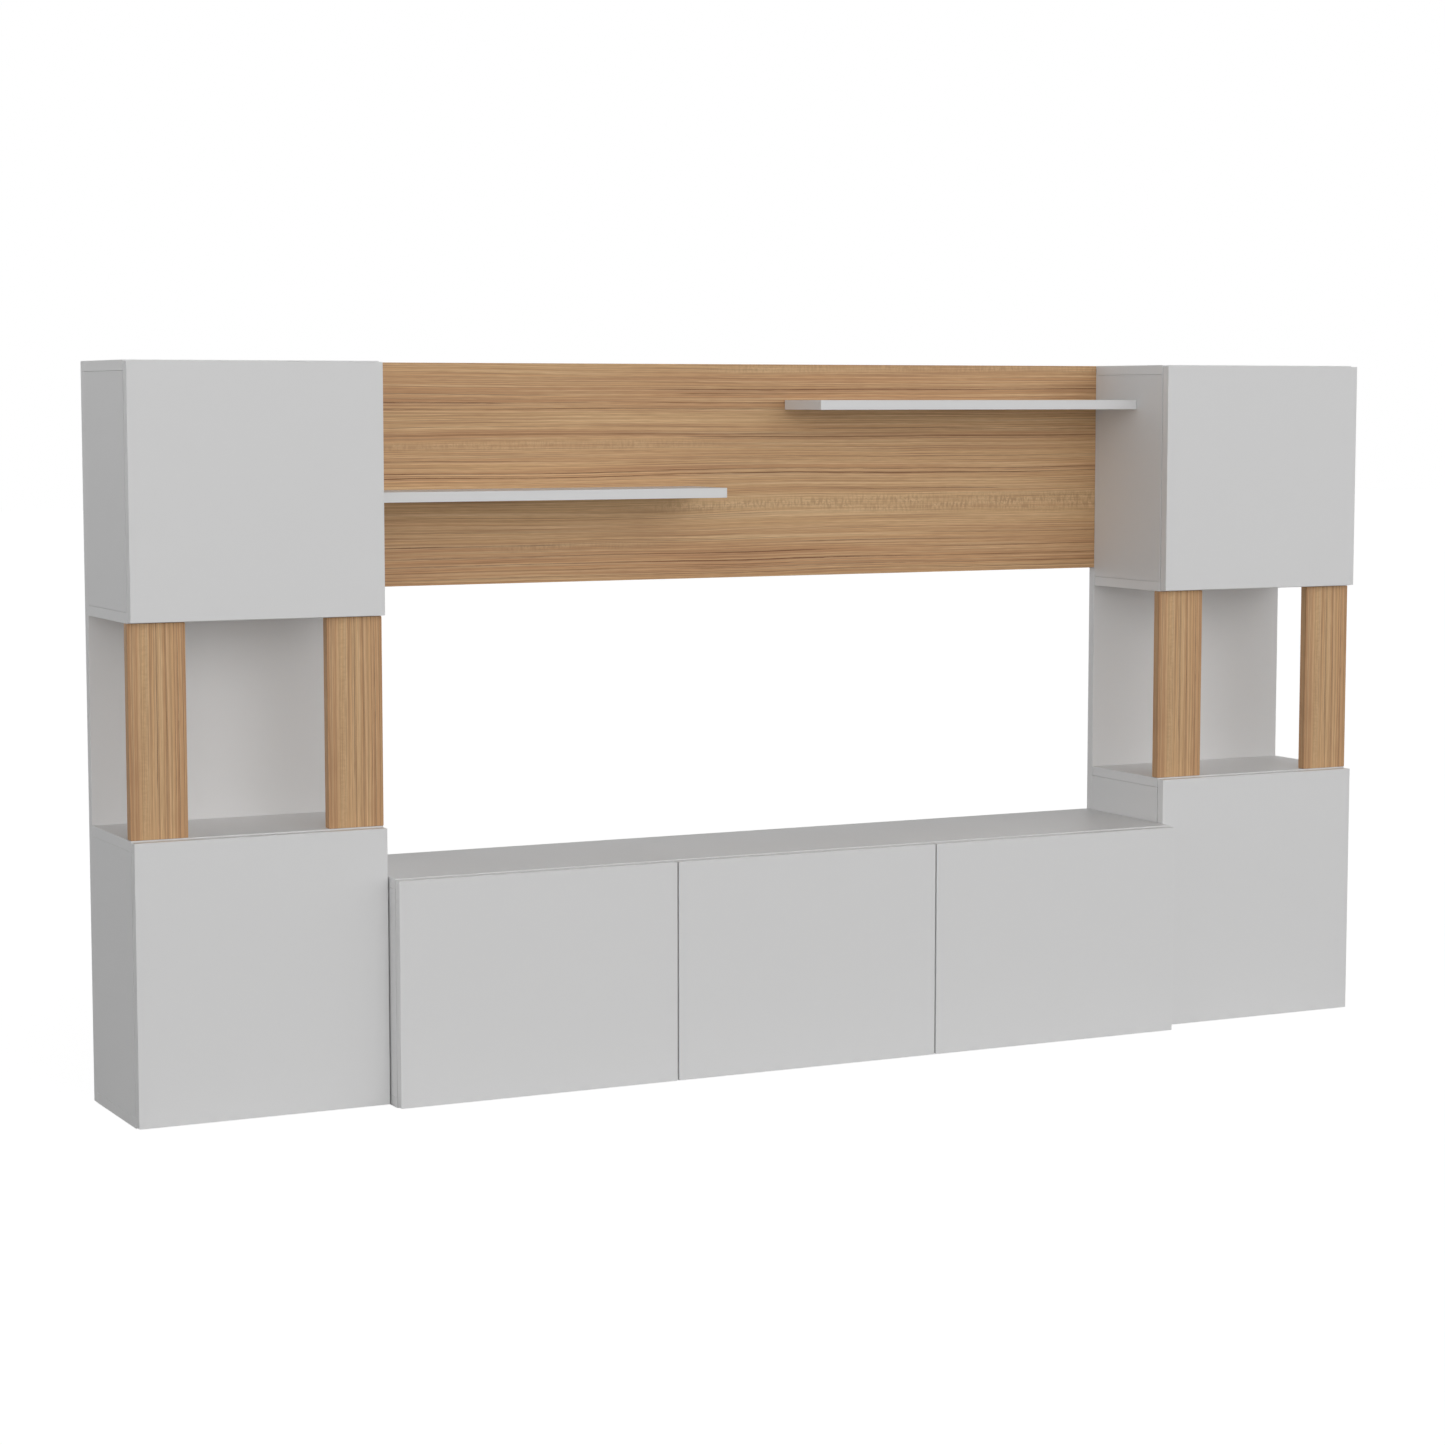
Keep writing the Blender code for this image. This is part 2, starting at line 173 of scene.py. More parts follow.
def board_mesh(name, low, high, bores=()):
    """The skin of a banded board between two corners.

    The edge profile is carried round the board's outline, and two flat faces close it. A
    bore is (a, b, radius, depth) in the plane of the high face, seen along the board's
    thinnest direction.
    """
    low, high = np.array(low), np.array(high)
    flat = int(np.argmin(high - low))
    plane = [(flat + 1) % 3, (flat + 2) % 3]
    half = (high - low)[plane] / 2
    middle = (high + low)[plane] / 2
    thickness = (high - low)[flat]
    inset, height, start, end = edge_profile(thickness)
    loops = [rectangle_loop(half[0], half[1], step) for step in inset]
    across, rows = len(loops[0][0]), len(inset)
    out = loops[0][1]

    spots = np.concatenate([np.column_stack([loop[0], np.full(across, h)])
                            for loop, h in zip(loops, height)])
    row, column = np.meshgrid(np.arange(rows - 1), np.arange(across), indexing="ij")
    after = (column + 1) % across
    quads = np.stack([row * across + column, (row + 1) * across + column,
                      (row + 1) * across + after, row * across + after], -1).reshape(-1, 4)
    ends = np.stack([start[row], end[row], end[row], start[row]], 2)
    ways = np.stack([out[column], out[column], out[after], out[after]], 2)
    normals = np.concatenate([ends[..., :1] * ways, ends[..., 1:]], -1).reshape(-1, 3)

    faces = quads.tolist()
    kinds = [1] * len(faces)
    bottom = list(range((rows - 1) * across, rows * across))[::-1]
    faces.append(bottom)
    kinds.append(0)
    normals = np.concatenate([normals, np.tile([0, 0, -1.0], (across, 1))])

    top = list(range(across))
    if not bores:
        faces.append(top)
        kinds.append(0)
        normals = np.concatenate([normals, np.tile([0, 0, 1.0], (across, 1))])
    else:
        rings, names, count = [spots[top]], top, 48
        here = np.arange(count)
        there = (here + 1) % count
        turn = np.linspace(0, 2 * math.pi, count, endpoint=False)
        way = np.stack([np.cos(turn), np.sin(turn)], 1)
        for a, b, radius, depth in bores:
            rim = np.array([a, b]) - middle + way * radius
            first = len(spots)
            spots = np.concatenate([spots, np.column_stack([rim, np.full(count, thickness)]),
                                    np.column_stack([rim, np.full(count, thickness - depth)])])
            rings.append(spots[first:first + count])
            names = names + list(range(first, first + count))
            wall = np.stack([here, there, there + count, here + count], 1) + first
            faces += wall.tolist() + [list(range(first + count, first + 2 * count))]
            kinds += [0] * (count + 1)
            inward = -np.stack([way[here], way[there], way[there], way[here]], 1).reshape(-1, 2)
            inward = np.column_stack([inward, np.zeros(len(inward))])
            normals = np.concatenate([normals, inward, np.tile([0, 0, 1.0], (count, 1))])
        pieces = tessellate_polygon([[Vector(p) for p in ring] for ring in rings])
        for corners in pieces:
            corners = [names[k] for k in corners]
            one, two, three = (spots[k] for k in corners)
            if np.cross(two - one, three - one)[2] < 0:
                corners = corners[::-1]
            faces.append(corners)
            kinds.append(0)
            normals = np.concatenate([normals, np.tile([0, 0, 1.0], (3, 1))])

    order = [plane.index(axis) if axis in plane else 2 for axis in range(3)]
    spots[:, :2] += middle
    spots[:, 2] += low[flat]
    mesh = bpy.data.meshes.new(name)
    mesh.from_pydata(spots[:, order].tolist(), [], faces)
    mesh.polygons.foreach_set("material_index", kinds)
    mesh.polygons.foreach_set("use_smooth", [True] * len(faces))
    mesh.normals_split_custom_set(normals[:, order].tolist())
    return mesh


def add_piece(name, mesh, body, finishes, nodes=()):
    """Puts a mesh into the scene as a piece of the object, riding on a body."""
    piece = bpy.data.objects.new(name, mesh)
    bpy.context.collection.objects.link(piece)
    for finish in finishes:
        mesh.materials.append(finish)
    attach(piece, body)
    if nodes:
        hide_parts(*nodes)


white_melamine = melamine_finish("white_melamine_film", "#E7E7E7", 0.48, 0.25)
white_band = melamine_finish("white_edge_band", "#E9E9E9", 0.42, 0.12)
WHITE = (white_melamine, white_band)

TOWER_BOARDS = ("lower_top", "lower_bottom", "upper_top", "upper_bottom", "back_panel")
for node in (*(f"{hand}_{board}" for hand in ("left", "right") for board in TOWER_BOARDS),
             "console_top", "console_bottom", "lower_shelf", "upper_shelf"):
    add_piece(f"{node}_board", board_mesh(node, *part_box(node)), "carcass",
              WHITE, [node])


# Sides and dividers
# The same boards, standing. In the solids they carry the hinge arms and the push latches,
# so here a board takes only the 18 mm that lie beside its own cabinet's end or door slit.
def standing_board(node, left, front):
    """A standing board 18 mm thick from its left face, its front edge flush with the rest."""
    low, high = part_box(node)
    mesh = board_mesh(node, (left, front, low.z), (left + BOARD, high.y, high.z))
    add_piece(f"{node}_board", mesh, "carcass", WHITE, [node])


# The face that each door's hinge plates are screwed to, and the one behind its push latch
hinge_face, latch_face = {}, {}
for hand in ("left", "right"):
    for level in ("lower", "upper"):
        low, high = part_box(f"{hand}_{level}_top")
        outer, inner = (low.x, high.x - BOARD) if hand == "left" else (high.x - BOARD, low.x)
        standing_board(f"{hand}_{level}_outer_side", outer, low.y)
        standing_board(f"{hand}_{level}_inner_side", inner, low.y)
        hinge_face[f"{hand}_{level}"] = outer + BOARD if hand == "left" else outer
        latch_face[f"{hand}_{level}"] = inner if hand == "left" else inner + BOARD

low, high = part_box("console_top")
doors = {hand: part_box(f"console_{hand}_door") for hand in ("left", "middle", "right")}
left_slit = (doors["left"][1].x + doors["middle"][0].x) / 2
right_slit = (doors["middle"][1].x + doors["right"][0].x) / 2
standing_board("console_left_side", low.x, low.y)
standing_board("console_left_divider", left_slit - BOARD / 2, low.y)
standing_board("console_right_divider", right_slit - BOARD / 2, low.y)
standing_board("console_right_side", high.x - BOARD, low.y)
hinge_face["console_left"], latch_face["console_left"] = low.x + BOARD, left_slit - BOARD / 2
hinge_face["console_middle"] = left_slit + BOARD / 2
latch_face["console_middle"] = right_slit - BOARD / 2
hinge_face["console_right"], latch_face["console_right"] = high.x - BOARD, right_slit + BOARD / 2


# Doors
# The same boards, without handles. Each hangs on two cup hinges, 90 mm from its lower and upper
# edge, and 35 mm bores in its back take their cups.
BORE_IN = 0.0205
BORE_RADIUS = 0.0174
BORE_DEPTH = 0.0124
HINGE_INSET = 0.090
# Each door, and which way along x it reaches from its hinges
DOORS = {"left_lower": 1, "left_upper": 1, "right_lower": -1, "right_upper": -1,
         "console_left": 1, "console_middle": 1, "console_right": -1}


def door_leaf(prefix):
    """The box of a door without the cup flanges on its back."""
    low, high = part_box(f"{prefix}_door")
    high.y = low.y + BOARD
    return low, high


def hinge_points(prefix, inward, behind=0.0):
    """A point at each of a door's hinges: this far in from its edge and behind its back face."""
    low, high = door_leaf(prefix)
    x = low.x + inward if DOORS[prefix] == 1 else high.x - inward
    return {"lower": (x, high.y + behind, low.z + HINGE_INSET),
            "upper": (x, high.y + behind, high.z - HINGE_INSET)}


for prefix in DOORS:
    bores = [(z, x, BORE_RADIUS, BORE_DEPTH) for x, _, z in hinge_points(prefix, BORE_IN).values()]
    mesh = board_mesh(f"{prefix}_door", *door_leaf(prefix), bores)
    add_piece(f"{prefix}_door_leaf", mesh, f"{prefix}_door", WHITE,
              [f"{prefix}_door"])


# Hinge cups
# Deep-drawn steel cups, nickel plated, pressed into the doors' 35 mm bores. Each has a flange
# with two ears, screwed down 45 mm apart.
CUP_WALL = 0.0007
CUP_INNER = 0.0166
CUP_FLOOR = -0.0115
CUP_RIM = 0.0184
FLANGE_LIFT = 0.0007
FLANGE_IN = 0.0035
FLANGE_HALF_WIDTH = 0.012
FLANGE_HALF_LENGTH = 0.027
EAR_ROUND = 0.007
EAR_DROP = 0.00005
CUP_SCREW_IN = 0.0095
CUP_SCREW_SPAN = 0.0225
CUP_SCREW_RADIUS = 0.0034


def nickel_finish(name, colour, roughness):
    """Nickel-plated sheet steel: bright, a touch warm, with a 3 mm soft ripple of stamping."""
    material, tree, shader, place = new_finish(name)
    shader.inputs["Base Color"].default_value = linear(colour)
    shader.inputs["Metallic"].default_value = 1.0
    ripple = add_node(tree, "TexNoise", {"Vector": place, "Scale": 320.0, "Detail": 3.0})
    give_touch(tree, shader, ripple, roughness, 0.06, ripple, 0.2, 0.0003)
    return material


nickel = nickel_finish("nickel_plated_steel", "#C6C5C1", 0.30)
screw_steel = nickel_finish("zinc_plated_screw", "#B9BABB", 0.26)


def laid(points, lie):
    """Turns local axes round: lie 0 builds up along z, lie 1 along x and lie 2 along y."""
    return np.roll(points, lie, axis=1)


def turned(profile, lie=0, at=(0, 0, 0), steps=32):
    """A closed shell of revolution: (radius, height) pairs carried round, from pole to pole.

    The profile starts and ends on the axis, and goes up the outside.
    """
    profile = np.array(profile)
    turn = np.linspace(0, 2 * math.pi, steps, endpoint=False)
    radius, height = profile[1:-1, 0], profile[1:-1, 1]
    spots = np.column_stack([np.outer(radius, np.cos(turn)).ravel(),
                             np.outer(radius, np.sin(turn)).ravel(), np.repeat(height, steps)])
    spots = np.concatenate([spots, [[0, 0, profile[0, 1]], [0, 0, profile[-1, 1]]]])
    row, here = np.meshgrid(np.arange(len(radius) - 1) * steps, np.arange(steps), indexing="ij")
    there = (here + 1) % steps
    faces = np.stack([row + here, row + there, row + steps + there, row + steps + here], -1)
    faces = faces.reshape(-1, 4).tolist()
    here, last = np.arange(steps), (len(radius) - 1) * steps
    there = (here + 1) % steps
    pole = np.full(steps, len(spots) - 2)
    faces += np.stack([pole, there, here], 1).tolist()
    faces += np.stack([last + here, last + there, pole + 1], 1).tolist()
    return laid(spots, lie) + np.array(at), faces


def pressed(outline, low, high, ease, lie=0, at=(0, 0, 0)):
    """A closed plate: an outline, anticlockwise, between two heights, its rims eased.

    At each rim the outline moves inward by the ease, along the mean normal of its corners.
    """
    outline = np.array(outline)
    ahead = np.roll(outline, -1, 0) - outline
    ahead /= np.linalg.norm(ahead, axis=1, keepdims=True)
    mean = ahead + np.roll(ahead, 1, 0)
    mean /= np.linalg.norm(mean, axis=1, keepdims=True)
    inner = outline + np.stack([-mean[:, 1], mean[:, 0]], 1) * ease
    count = len(outline)
    rings = ((inner, low), (outline, low + ease), (outline, high - ease), (inner, high))
    spots = np.concatenate([np.column_stack([ring, np.full(count, height)])
                            for ring, height in rings])
    row, here = np.meshgrid(np.arange(3) * count, np.arange(count), indexing="ij")
    there = (here + 1) % count
    faces = np.stack([row + here, row + there, row + count + there, row + count + here], -1)
    faces = faces.reshape(-1, 4).tolist()
    faces += [list(range(count))[::-1], list(range(3 * count, 4 * count))]
    return laid(spots, lie) + np.array(at), faces


def arc(centre, radius, first, last, steps=8):
    """Points of a circle's arc between two angles in degrees."""
    turn = np.radians(np.linspace(first, last, steps + 1))
    return np.array(centre) + radius * np.stack([np.cos(turn), np.sin(turn)], 1)


def screw_head(radius, lie=0, at=(0, 0, 0)):
    """A countersunk screw's head on a polar grid: a low dome with a cross recess.

    Height falls with the square of the radius. The recess is sunk where the smaller of the
    two distances from the axes lies within an arm's width, and the larger within its length.
    All measures are shares of the radius.
    """
    steps, dome, recess, under = 32, 0.18, 0.36, -0.3 * radius
    share, turn = np.meshgrid(np.linspace(0.11, 1.0, 9)[::-1],
                              np.linspace(0, 2 * math.pi, steps, endpoint=False), indexing="ij")
    a, b = share * np.cos(turn), share * np.sin(turn)
    narrow, long = np.minimum(abs(a), abs(b)), np.maximum(abs(a), abs(b))
    sunk = np.clip((0.20 - narrow) / 0.07, 0, 1) * np.clip((0.68 - long) / 0.12, 0, 1)
    height = radius * (dome * (1 - share ** 2) - recess * sunk)
    rings = [(radius * s, 0) for s in share[:, 0]]
    spots, faces = turned([(0, under), (radius, under), *rings, (0, (dome - recess) * radius)],
                          steps=steps)
    spots[steps:-2, 2] = height.ravel()
    return laid(spots, lie) + np.array(at), faces


def fitting_mesh(name, shells, place, way=1):
    """Joins closed shells, each with its finish's number, at a place; way -1 mirrors them in x."""
    spots, faces, kinds, count = [], [], [], 0
    for kind, (points, loops) in shells:
        spots.append(points)
        faces += [[count + k for k in loop[::way]] for loop in loops]
        kinds += [kind] * len(loops)
        count += len(points)
    mesh = bpy.data.meshes.new(name)
    mesh.from_pydata((np.concatenate(spots) * (way, 1, 1) + np.array(place)).tolist(), [], faces)
    mesh.polygons.foreach_set("material_index", kinds)
    mesh.polygons.foreach_set("use_smooth", [True] * len(faces))
    mesh.set_sharp_from_angle(angle=math.radians(35))
    return mesh


def hinge_cup():
    """A cup about the middle of its mouth, on the door's back face, with ears and screws.

    The cup's profile goes up its outside, over its rim and down inside. An ear is an arc of
    the cup's circle joined to two quarter circles, a hair lower than the rim.
    """
    outer = CUP_INNER + CUP_WALL
    floor = CUP_FLOOR - CUP_WALL
    bevel, ease, bend = 0.0006, 0.0002, 0.002
    inside = arc((CUP_INNER - bend, CUP_FLOOR + bend), bend, 0, -90, 5)
    profile = [(0, floor), (outer - bevel, floor), (outer, floor + bevel), (outer, 0), (CUP_RIM, 0),
               (CUP_RIM, FLANGE_LIFT - ease), (CUP_RIM - ease, FLANGE_LIFT),
               (CUP_INNER + 0.0005, FLANGE_LIFT), (CUP_INNER + 0.0001, FLANGE_LIFT - ease),
               (CUP_INNER, FLANGE_LIFT - bevel), *inside.tolist(), (0, CUP_FLOOR)]
    shells = [(0, turned(profile, 2, steps=48))]
    left, right = FLANGE_IN - FLANGE_HALF_WIDTH, FLANGE_IN + FLANGE_HALF_WIDTH
    reach = CUP_INNER + CUP_WALL / 2
    start, stop = math.degrees(math.acos(right / reach)), math.degrees(math.acos(left / reach))
    end = FLANGE_HALF_LENGTH - EAR_ROUND
    ear = np.concatenate([arc((0, 0), reach, stop, start, 14),
                          arc((right - EAR_ROUND, end), EAR_ROUND, 0, 90),
                          arc((left + EAR_ROUND, end), EAR_ROUND, 90, 180)])
    for side in (1, -1):
        # An ear's outline lies in z and x, so that it builds up along y
        outline = (ear * (1, side))[:, ::-1]
        outline = outline if side == -1 else outline[::-1]
        shells.append((0, pressed(outline, 0, FLANGE_LIFT - EAR_DROP, ease, 2)))
        shells.append((1, screw_head(CUP_SCREW_RADIUS, 2,
                                     (CUP_SCREW_IN, FLANGE_LIFT, side * CUP_SCREW_SPAN))))
    return shells


for prefix, way in DOORS.items():
    for level, at in hinge_points(prefix, BORE_IN).items():
        name = f"{prefix}_{level}_hinge_cup"
        add_piece(name, fitting_mesh(name, hinge_cup(), at, way), f"{prefix}_door",
                  (nickel, screw_steel))


# Hinge links
# Cranked strips of steel, 1.6 mm thick and 8 mm wide. One end is rolled round a riveted pin in
# the arm's fork, and the other end is rolled over and reaches into the cup.
PIVOT_IN = 0.029
PIVOT_OUT = 0.0045
LINK_BENDS = ((0, 0), (-0.0136, -0.0105), (-0.0186, -0.0140), (-0.0223, -0.0120))
LINK_HALF_THICKNESS = 0.0008
LINK_HALF_WIDTH = 0.004
LINK_EASE = 0.0003
KNUCKLE_RADIUS = 0.0022
TIP_RADIUS = 0.0014
PIN_RADIUS = 0.0011
PIN_HEAD_RADIUS = 0.0017
FORK_HALF_WIDTH = 0.0065


def roll(radius, half):
    """The profile of a short bar about its middle, with rims eased by a fifth of a millimetre."""
    ease = 0.0002
    return [(0, -half), (radius - ease, -half), (radius, ease - half), (radius, half - ease),
            (radius - ease, half), (0, half)]


def hinge_link():
    """A link about its pivot: a bent line eased twice by cutting its corners, then thickened.

    The knuckle and the rolled tip are a little wider than the strip, and the pin a little
    wider than the fork.
    """
    line = np.array(LINK_BENDS)
    for _ in range(2):
        quarter = line[:-1] * 0.8 + line[1:] * 0.2
        threequarter = line[:-1] * 0.2 + line[1:] * 0.8
        line = np.concatenate([line[:1], np.stack([quarter, threequarter], 1).reshape(-1, 2)[1:-1],
                               line[-1:]])
    ahead = np.gradient(line, axis=0)
    ahead /= np.linalg.norm(ahead, axis=1, keepdims=True)
    side = np.stack([-ahead[:, 1], ahead[:, 0]], 1) * LINK_HALF_THICKNESS
    outline = np.concatenate([line - side, (line + side)[::-1]])
    strip, end = LINK_HALF_WIDTH - 0.0001, FORK_HALF_WIDTH
    tip = (*LINK_BENDS[-1], 0)
    shank, head, rim = PIN_RADIUS, PIN_HEAD_RADIUS, 0.0002
    top = end + 0.0005
    pin = [(0, -top), (shank, -top), (head, -end - rim), (head, -end), (shank, -end), (shank, end),
           (head, end), (head, end + rim), (shank, top), (0, top)]
    return [(0, pressed(outline, -strip, strip, LINK_EASE)),
            (0, turned(roll(KNUCKLE_RADIUS, LINK_HALF_WIDTH), steps=24)),
            (0, turned(roll(TIP_RADIUS, LINK_HALF_WIDTH), at=tip, steps=20)),
            (1, turned(pin, steps=20))]


for prefix, way in DOORS.items():
    for level, at in hinge_points(prefix, PIVOT_IN, PIVOT_OUT).items():
        name = f"{prefix}_{level}_hinge_link"
        add_piece(f"{name}_strip", fitting_mesh(name, hinge_link(), at, way), f"{prefix}_links",
                  (nickel, screw_steel), [name])


# Hinge arms and mounting plates
# A stamped channel with a forked nose is clipped on a die-cast plate, whose wings are screwed
# to the side board 32 mm apart. Two screws on the arm's back set its depth and overlay.
ARM_TOP = 0.0034
ARM_FOOT = -0.0086
ARM_TAIL = 0.0555
ARM_WALL = 0.00215
ARM_EASE = 0.0005
TAIL_ROUND = 0.003
HEEL_ROUND = 0.001
FORK_DEPTH = 0.009
CHANNEL_TOP = 0.0014
CHANNEL_CROWN = 0.0008
ARM_SCREWS = (0.020, 0.047)
ARM_SCREW_RADIUS = 0.0031
BOSS_RADIUS = 0.0040
PLATE_MIDDLE = 0.034
PLATE_HALF_LENGTH = 0.009
PLATE_HALF_SPAN = 0.026
PLATE_EASE = 0.0004
SADDLE_HALF_WIDTH = 0.0085
BLOCK_LIFT = 0.0035
WING_HALF_WIDTH = 0.0065
WING_THICKNESS = 0.0024
PLATE_SCREW_SPAN = 0.016
PLATE_SCREW_RADIUS = 0.0038


def rectangle(half_a, half_b):
    """The four corners of a rectangle about its middle, anticlockwise."""
    return np.array([(-1, -1), (1, -1), (1, 1), (-1, 1)]) * (half_a, half_b)


def hinge_arm(face):
    """An arm and its plate about the link's pivot; face is the side board's face from there.

    A cheek runs round the pivot at its nose. The channel's back is crowned across, by the
    square of the distance from its middle. The plate is a block on a saddle on two wings.
    """
    half, tail, heel = FORK_HALF_WIDTH, TAIL_ROUND, HEEL_ROUND
    cheek = np.concatenate([arc((0, 0), ARM_TOP, 180, 360, 16),
                            arc((ARM_TOP - tail, ARM_TAIL - tail), tail, 0, 90, 6),
                            arc((ARM_FOOT + heel, ARM_TAIL - heel), heel, 90, 180, 3),
                            [(ARM_FOOT, 0.012), (ARM_FOOT * 0.75, 0.0055)]])
    shells = [(0, pressed(cheek, *span, ARM_EASE))
              for span in ((-half, ARM_WALL - half), (half - ARM_WALL, half))]
    across = np.linspace(-1, 1, 9)
    width = across * (half - 0.0006)
    crown = np.stack([ARM_TOP - CHANNEL_CROWN * across ** 2, width], 1)
    under = np.stack([np.full(9, ARM_TOP - CHANNEL_TOP), width], 1)
    section = np.concatenate([under, crown[::-1]])[:, ::-1]
    shells.append((0, pressed(section, FORK_DEPTH, ARM_TAIL - 0.0022, 0.0003, 2)))
    top, sunk, rim = ARM_TOP + 0.0002, ARM_TOP - 0.001, BOSS_RADIUS - 0.0002
    boss = [(0, sunk), (BOSS_RADIUS, sunk), (BOSS_RADIUS, ARM_TOP), (rim, top), (0, top)]
    for place in ARM_SCREWS:
        shells.append((1, turned(boss, 1, (0, place, 0), 28)))
        shells.append((1, screw_head(ARM_SCREW_RADIUS, 1, (ARM_TOP + 0.0005, place, 0))))

    end = PLATE_HALF_SPAN - WING_HALF_WIDTH
    wings = np.concatenate([arc((0, end), WING_HALF_WIDTH, 0, 180, 16),
                            arc((0, -end), WING_HALF_WIDTH, 180, 360, 16)])
    block = rectangle(PLATE_HALF_LENGTH - 0.0008, half - ARM_WALL - 0.0002)
    saddle = rectangle(PLATE_HALF_LENGTH, SADDLE_HALF_WIDTH)
    for outline, height in ((block, ARM_FOOT + BLOCK_LIFT), (saddle, ARM_FOOT),
                            (wings, face + WING_THICKNESS)):
        shells.append((0, pressed(outline, face, height, PLATE_EASE, 1, (0, PLATE_MIDDLE, 0))))
    for side in (-1, 1):
        at = (face + WING_THICKNESS, PLATE_MIDDLE, side * PLATE_SCREW_SPAN)
        shells.append((1, screw_head(PLATE_SCREW_RADIUS, 1, at)))
    return shells


for prefix, way in DOORS.items():
    for level, at in hinge_points(prefix, PIVOT_IN, PIVOT_OUT).items():
        name = f"{prefix}_{level}_hinge_arm"
        mesh = fitting_mesh(name, hinge_arm(way * (hinge_face[prefix] - at[0])), at, way)
        add_piece(name, mesh, "carcass", (nickel, screw_steel))


# Push latches
# A moulded housing on a screwed foot holds a sprung plunger with a magnet in its pad. The pad
# holds a small steel disc that is let into the door's back, and a push springs the door open.
LATCH_AXIS = 0.0055
LATCH_TIP = 0.0003
LATCH_FRONT = 0.0035
LATCH_LENGTH = 0.055
LATCH_EASE = 0.0004
SOCKET_RADIUS = 0.0034
SOCKET_DEPTH = 0.034
GRIP_START = 0.006
GRIP_PITCH = 0.002
FOOT_SETBACK = 0.012
FOOT_LENGTH = 0.034
FOOT_HALF_HEIGHT = 0.013
FOOT_THICKNESS = 0.0025
FOOT_CORNER = 0.004
FOOT_SCREW_RADIUS = 0.0029
PLUNGER_LENGTH = 0.034
STEM_RADIUS = 0.0030
PAD_RADIUS = 0.0042
MAGNET_RADIUS = 0.0026
DISC_RADIUS = 0.0055


def plastic_finish(name, colour, roughness):
    """Moulded ABS with the fine even grain of a spark-eroded mould, about 0.4 mm."""
    material, tree, shader, place = new_finish(name)
    shader.inputs["Base Color"].default_value = linear(colour)
    grains = add_node(tree, "TexNoise", {"Vector": place, "Scale": 2500.0, "Detail": 2.0})
    give_touch(tree, shader, grains, roughness, 0.04, grains, 0.3, 0.0001)
    return material


grey_abs = plastic_finish("grey_moulded_abs", "#A7A8A9", 0.48)
dark_magnet = plastic_finish("sintered_magnet", "#515153", 0.38)


def latch_housing():
    """A housing about its plunger's tip: a ribbed tube with a mouth, and a foot on the board.

    The tube's profile goes up its socket from the bottom, over the mouth and back outside.
    """
    mouth, back, radius = LATCH_FRONT, LATCH_FRONT + LATCH_LENGTH, LATCH_AXIS
    inner, bottom, ease = SOCKET_RADIUS, LATCH_FRONT + SOCKET_DEPTH, LATCH_EASE
    profile = [(0, bottom), (inner, bottom), (inner, mouth + 0.0005), (inner + 0.0005, mouth),
               (radius - ease, mouth), (radius, mouth + ease), (radius, mouth + GRIP_START)]
    for k in range(4):
        # Four shallow grip grooves behind the mouth
        rib = mouth + GRIP_START + GRIP_PITCH * k
        profile += [(radius - ease, rib + 0.0004), (radius - ease, rib + 0.0010),
                    (radius, rib + 0.0014), (radius, rib + GRIP_PITCH)]
    profile += [(radius, back - 0.002), (radius - 0.0006, back - 0.0006), (radius - 0.002, back),
                (0, back)]
    shells = [(0, turned(profile, 2, steps=36))]
    low, high = mouth + FOOT_SETBACK, mouth + FOOT_SETBACK + FOOT_LENGTH
    tall, corner = FOOT_HALF_HEIGHT - FOOT_CORNER, FOOT_CORNER
    foot = np.concatenate([arc((high - corner, tall), corner, 0, 90, 6),
                           arc((low + corner, tall), corner, 90, 180, 6),
                           arc((low + corner, -tall), corner, 180, 270, 6),
                           arc((high - corner, -tall), corner, 270, 360, 6)])
    shells.append((0, pressed(foot, -radius, FOOT_THICKNESS - radius, 0.0005, 1)))
    for along, up in ((low + 0.006, 0.0088), (high - 0.006, -0.0088)):
        at = (FOOT_THICKNESS - radius, along, up)
        shells.append((1, screw_head(FOOT_SCREW_RADIUS, 1, at)))
    return shells


def latch_plunger():
    """A plunger about its tip: a stem and a flanged pad, with the magnet's face let into it."""
    pad, rim, end = PAD_RADIUS, PAD_RADIUS - 0.0002, PLUNGER_LENGTH
    stem = [(0, 0.0001), (STEM_RADIUS, 0.0001), (STEM_RADIUS, 0), (rim, 0), (pad, 0.0002),
            (pad, 0.0010), (rim, 0.0012), (STEM_RADIUS, 0.0014), (STEM_RADIUS, end - 0.0005),
            (STEM_RADIUS - 0.0005, end), (0, end)]
    magnet = [(0, 0.00004), (MAGNET_RADIUS, 0.00004), (MAGNET_RADIUS, 0.0003), (0, 0.0003)]
    return [(0, turned(stem, 2)), (1, turned(magnet, 2))]


def strike_disc():
    """A thin steel disc about its middle on the door's back, a tenth of a millimetre proud."""
    disc = [(0, -0.001), (DISC_RADIUS, -0.001), (DISC_RADIUS, 0.00004),
            (DISC_RADIUS - 0.0002, 0.0001), (0, 0.0001)]
    return [(0, turned(disc, 2, steps=40))]


